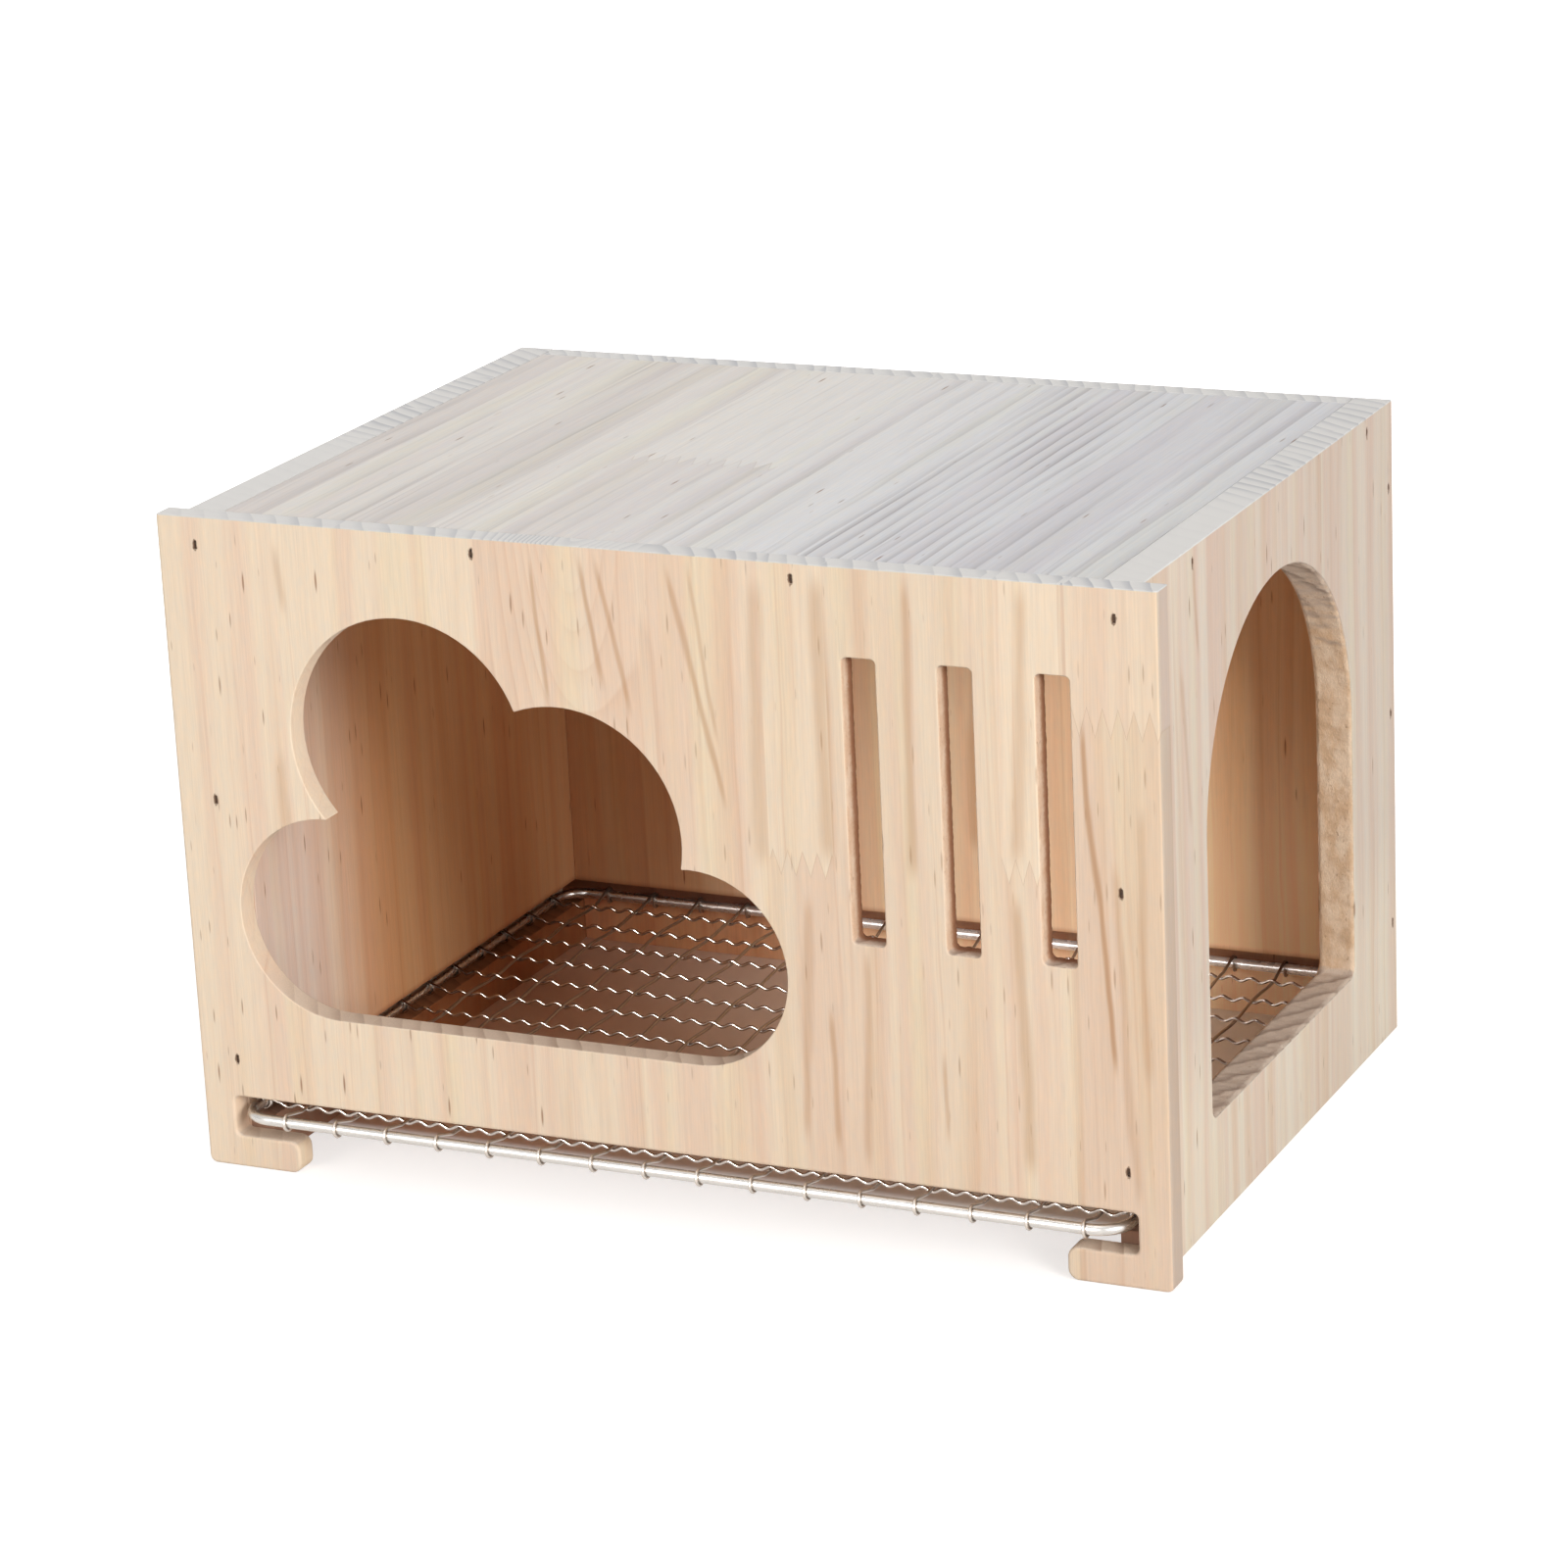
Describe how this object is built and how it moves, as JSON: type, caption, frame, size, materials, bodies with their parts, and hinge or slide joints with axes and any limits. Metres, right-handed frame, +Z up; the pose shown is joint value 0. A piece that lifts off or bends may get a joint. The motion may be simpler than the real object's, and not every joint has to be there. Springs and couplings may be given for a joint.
{
  "type": "small pet and bird nest box",
  "caption": "Nailed pine nest box with a cloud-shaped front entrance, air slots, an arched side doorway and a slide-out woven wire tray for a floor.",
  "frame": {"origin": "on the ground, at the middle of the box and its tray together", "axes": "+X to the right along the front, +Y from the front to the back, +Z up"},
  "size_m": [0.3, 0.2166, 0.196],
  "materials": {
    "pine": "bare planed pine",
    "brad_steel": "dull, driven below the surface",
    "tray_rod": "bright plated rod",
    "tray_wire": "bright plated crimped wire"
  },
  "bodies": {
    "house": {"front_panel": "pine", "left_side_panel": "pine", "right_side_panel": "pine", "back_panel": "pine", "roof_panel": "pine", "nails_front_to_roof": "brad_steel", "nails_back_to_roof": "brad_steel", "nails_front_to_left": "brad_steel", "nails_front_to_right": "brad_steel", "nails_left_to_roof": "brad_steel", "nails_right_to_roof": "brad_steel", "nails_left_to_back": "brad_steel", "nails_right_to_back": "brad_steel"},
    "tray": {"tray_frame": "tray_rod", "warp_wire_01": "tray_wire", "warp_wire_02": "tray_wire", "warp_wire_03": "tray_wire", "warp_wire_04": "tray_wire", "warp_wire_05": "tray_wire", "warp_wire_06": "tray_wire", "warp_wire_07": "tray_wire", "warp_wire_08": "tray_wire", "warp_wire_09": "tray_wire", "warp_wire_10": "tray_wire", "warp_wire_11": "tray_wire", "warp_wire_12": "tray_wire", "warp_wire_13": "tray_wire", "warp_wire_14": "tray_wire", "warp_wire_15": "tray_wire", "warp_wire_16": "tray_wire", "weft_wire_01": "tray_wire", "weft_wire_02": "tray_wire", "weft_wire_03": "tray_wire", "weft_wire_04": "tray_wire", "weft_wire_05": "tray_wire", "weft_wire_06": "tray_wire", "weft_wire_07": "tray_wire", "weft_wire_08": "tray_wire", "weft_wire_09": "tray_wire", "weft_wire_10": "tray_wire", "weft_wire_11": "tray_wire", "weft_wire_12": "tray_wire"}
  },
  "joints": [
    {"name": "tray_slide", "type": "slide", "parent": "house", "child": "tray", "axis": [0, -1, 0], "range_m": [0, 0.22]}
  ]
}
